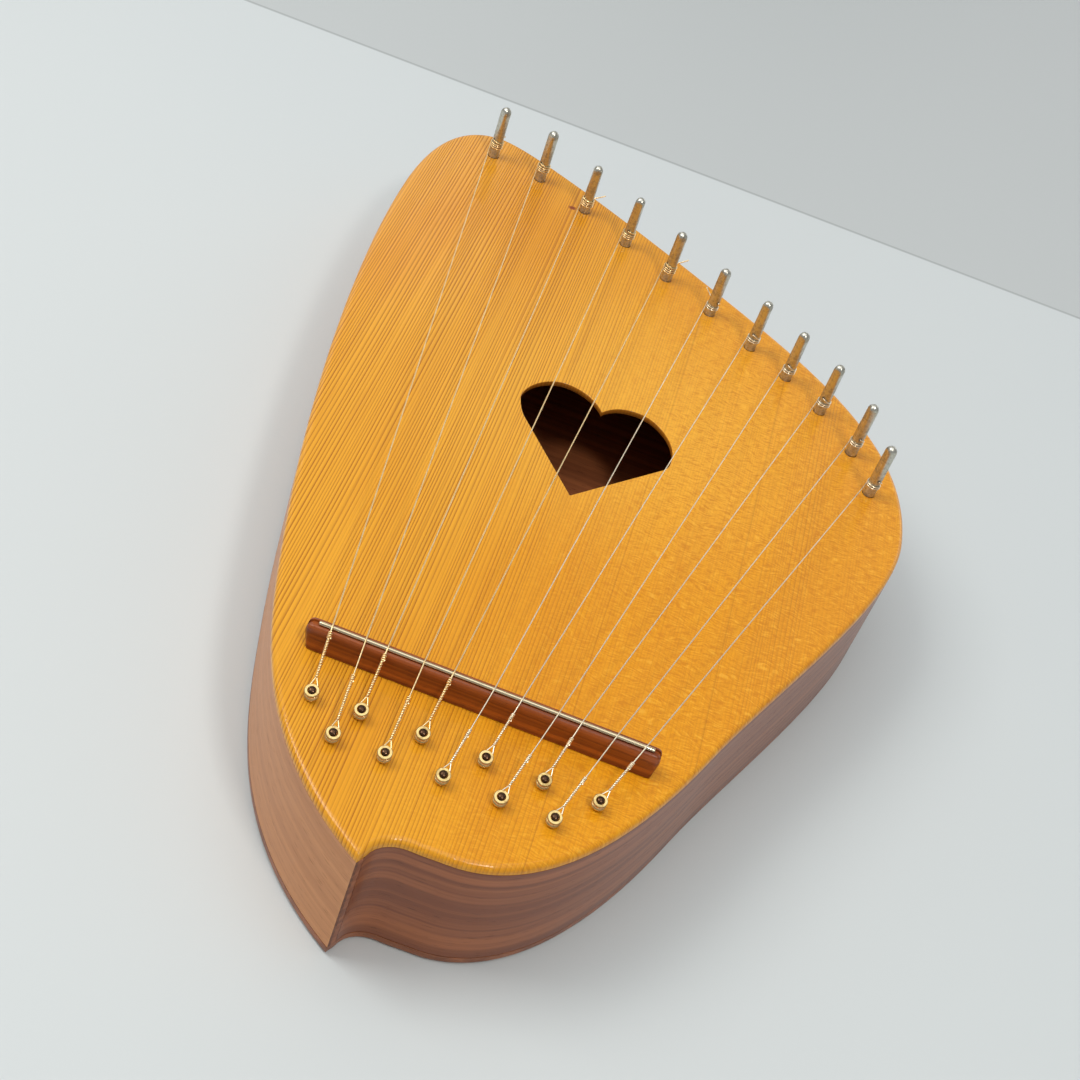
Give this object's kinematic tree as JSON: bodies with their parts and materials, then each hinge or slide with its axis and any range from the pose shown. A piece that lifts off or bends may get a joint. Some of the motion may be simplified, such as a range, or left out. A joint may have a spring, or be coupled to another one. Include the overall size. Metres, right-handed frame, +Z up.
{
  "type": "lap harp",
  "caption": "Small leaf-shaped table harp: flat sound box with a heart-shaped sound hole, a fixed bridge, wire strings on hitch nails and a curved row of tuning pins that turn.",
  "frame": {"origin": "middle of the footprint on the surface that the sound box lies on", "axes": "+Z up, square to the soundboard; +Y along the soundboard grain, from the nose and hitch nails to the tuning pins; +X to the right of +Y, towards the shortest string"},
  "size_m": [0.251, 0.434, 0.0775],
  "materials": {
    "varnished_softwood": "glossy amber varnish over fine straight grain",
    "mahogany": "satin varnish, grain along the strip",
    "block_wood": "raw sawn wood",
    "bridge_hardwood": "satin, red-brown",
    "rod_metal": "smooth, slightly yellowed",
    "aged_nickel": "worn nickel plate",
    "bronze_wire": "bright drawn wire",
    "steel_wire": "bright drawn wire",
    "ball_brass": "turned, lightly aged",
    "nail_steel": "dark browned steel"
  },
  "bodies": {
    "sound_box": {"soundboard": "varnished_softwood", "back_plate": "mahogany", "left_rib": "mahogany", "right_rib": "mahogany", "tail_block": "block_wood", "pin_block": "block_wood", "bridge": "bridge_hardwood", "bridge_rod": "rod_metal", "string_01": "bronze_wire", "string_02": "bronze_wire", "string_03": "bronze_wire", "string_04": "bronze_wire", "string_05": "bronze_wire", "string_06": "steel_wire", "string_07": "steel_wire", "string_08": "steel_wire", "string_09": "steel_wire", "string_10": "steel_wire", "string_11": "steel_wire", "ball_end_01": "ball_brass", "ball_end_02": "ball_brass", "ball_end_03": "ball_brass", "ball_end_04": "ball_brass", "ball_end_05": "ball_brass", "ball_end_06": "ball_brass", "ball_end_07": "ball_brass", "ball_end_08": "ball_brass", "ball_end_09": "ball_brass", "ball_end_10": "ball_brass", "ball_end_11": "ball_brass", "hitch_nail_01": "nail_steel", "hitch_nail_02": "nail_steel", "hitch_nail_03": "nail_steel", "hitch_nail_04": "nail_steel", "hitch_nail_05": "nail_steel", "hitch_nail_06": "nail_steel", "hitch_nail_07": "nail_steel", "hitch_nail_08": "nail_steel", "hitch_nail_09": "nail_steel", "hitch_nail_10": "nail_steel", "hitch_nail_11": "nail_steel"},
    "pin_01": {"tuning_pin_01": "aged_nickel"},
    "pin_02": {"tuning_pin_02": "aged_nickel"},
    "pin_03": {"tuning_pin_03": "aged_nickel"},
    "pin_04": {"tuning_pin_04": "aged_nickel"},
    "pin_05": {"tuning_pin_05": "aged_nickel"},
    "pin_06": {"tuning_pin_06": "aged_nickel"},
    "pin_07": {"tuning_pin_07": "aged_nickel"},
    "pin_08": {"tuning_pin_08": "aged_nickel"},
    "pin_09": {"tuning_pin_09": "aged_nickel"},
    "pin_10": {"tuning_pin_10": "aged_nickel"},
    "pin_11": {"tuning_pin_11": "aged_nickel"}
  },
  "joints": [
    {"name": "tune_01", "type": "hinge", "parent": "sound_box", "child": "pin_01", "pos_m": [-0.096, 0.1975, 0.051], "axis": [0, 0, -1], "range_deg": [-270, 90]},
    {"name": "tune_02", "type": "hinge", "parent": "sound_box", "child": "pin_02", "pos_m": [-0.071, 0.192, 0.051], "axis": [0, 0, -1], "range_deg": [-270, 90]},
    {"name": "tune_03", "type": "hinge", "parent": "sound_box", "child": "pin_03", "pos_m": [-0.0455, 0.179, 0.051], "axis": [0, 0, -1], "range_deg": [-270, 90]},
    {"name": "tune_04", "type": "hinge", "parent": "sound_box", "child": "pin_04", "pos_m": [-0.022, 0.164, 0.051], "axis": [0, 0, -1], "range_deg": [-270, 90]},
    {"name": "tune_05", "type": "hinge", "parent": "sound_box", "child": "pin_05", "pos_m": [0.001, 0.148, 0.051], "axis": [0, 0, -1], "range_deg": [-270, 90]},
    {"name": "tune_06", "type": "hinge", "parent": "sound_box", "child": "pin_06", "pos_m": [0.0245, 0.1335, 0.051], "axis": [0, 0, -1], "range_deg": [-270, 90]},
    {"name": "tune_07", "type": "hinge", "parent": "sound_box", "child": "pin_07", "pos_m": [0.046, 0.1185, 0.051], "axis": [0, 0, -1], "range_deg": [-270, 90]},
    {"name": "tune_08", "type": "hinge", "parent": "sound_box", "child": "pin_08", "pos_m": [0.0645, 0.106, 0.051], "axis": [0, 0, -1], "range_deg": [-270, 90]},
    {"name": "tune_09", "type": "hinge", "parent": "sound_box", "child": "pin_09", "pos_m": [0.082, 0.0905, 0.051], "axis": [0, 0, -1], "range_deg": [-270, 90]},
    {"name": "tune_10", "type": "hinge", "parent": "sound_box", "child": "pin_10", "pos_m": [0.0985, 0.0695, 0.051], "axis": [0, 0, -1], "range_deg": [-270, 90]},
    {"name": "tune_11", "type": "hinge", "parent": "sound_box", "child": "pin_11", "pos_m": [0.1085, 0.0465, 0.051], "axis": [0, 0, -1], "range_deg": [-270, 90]}
  ]
}
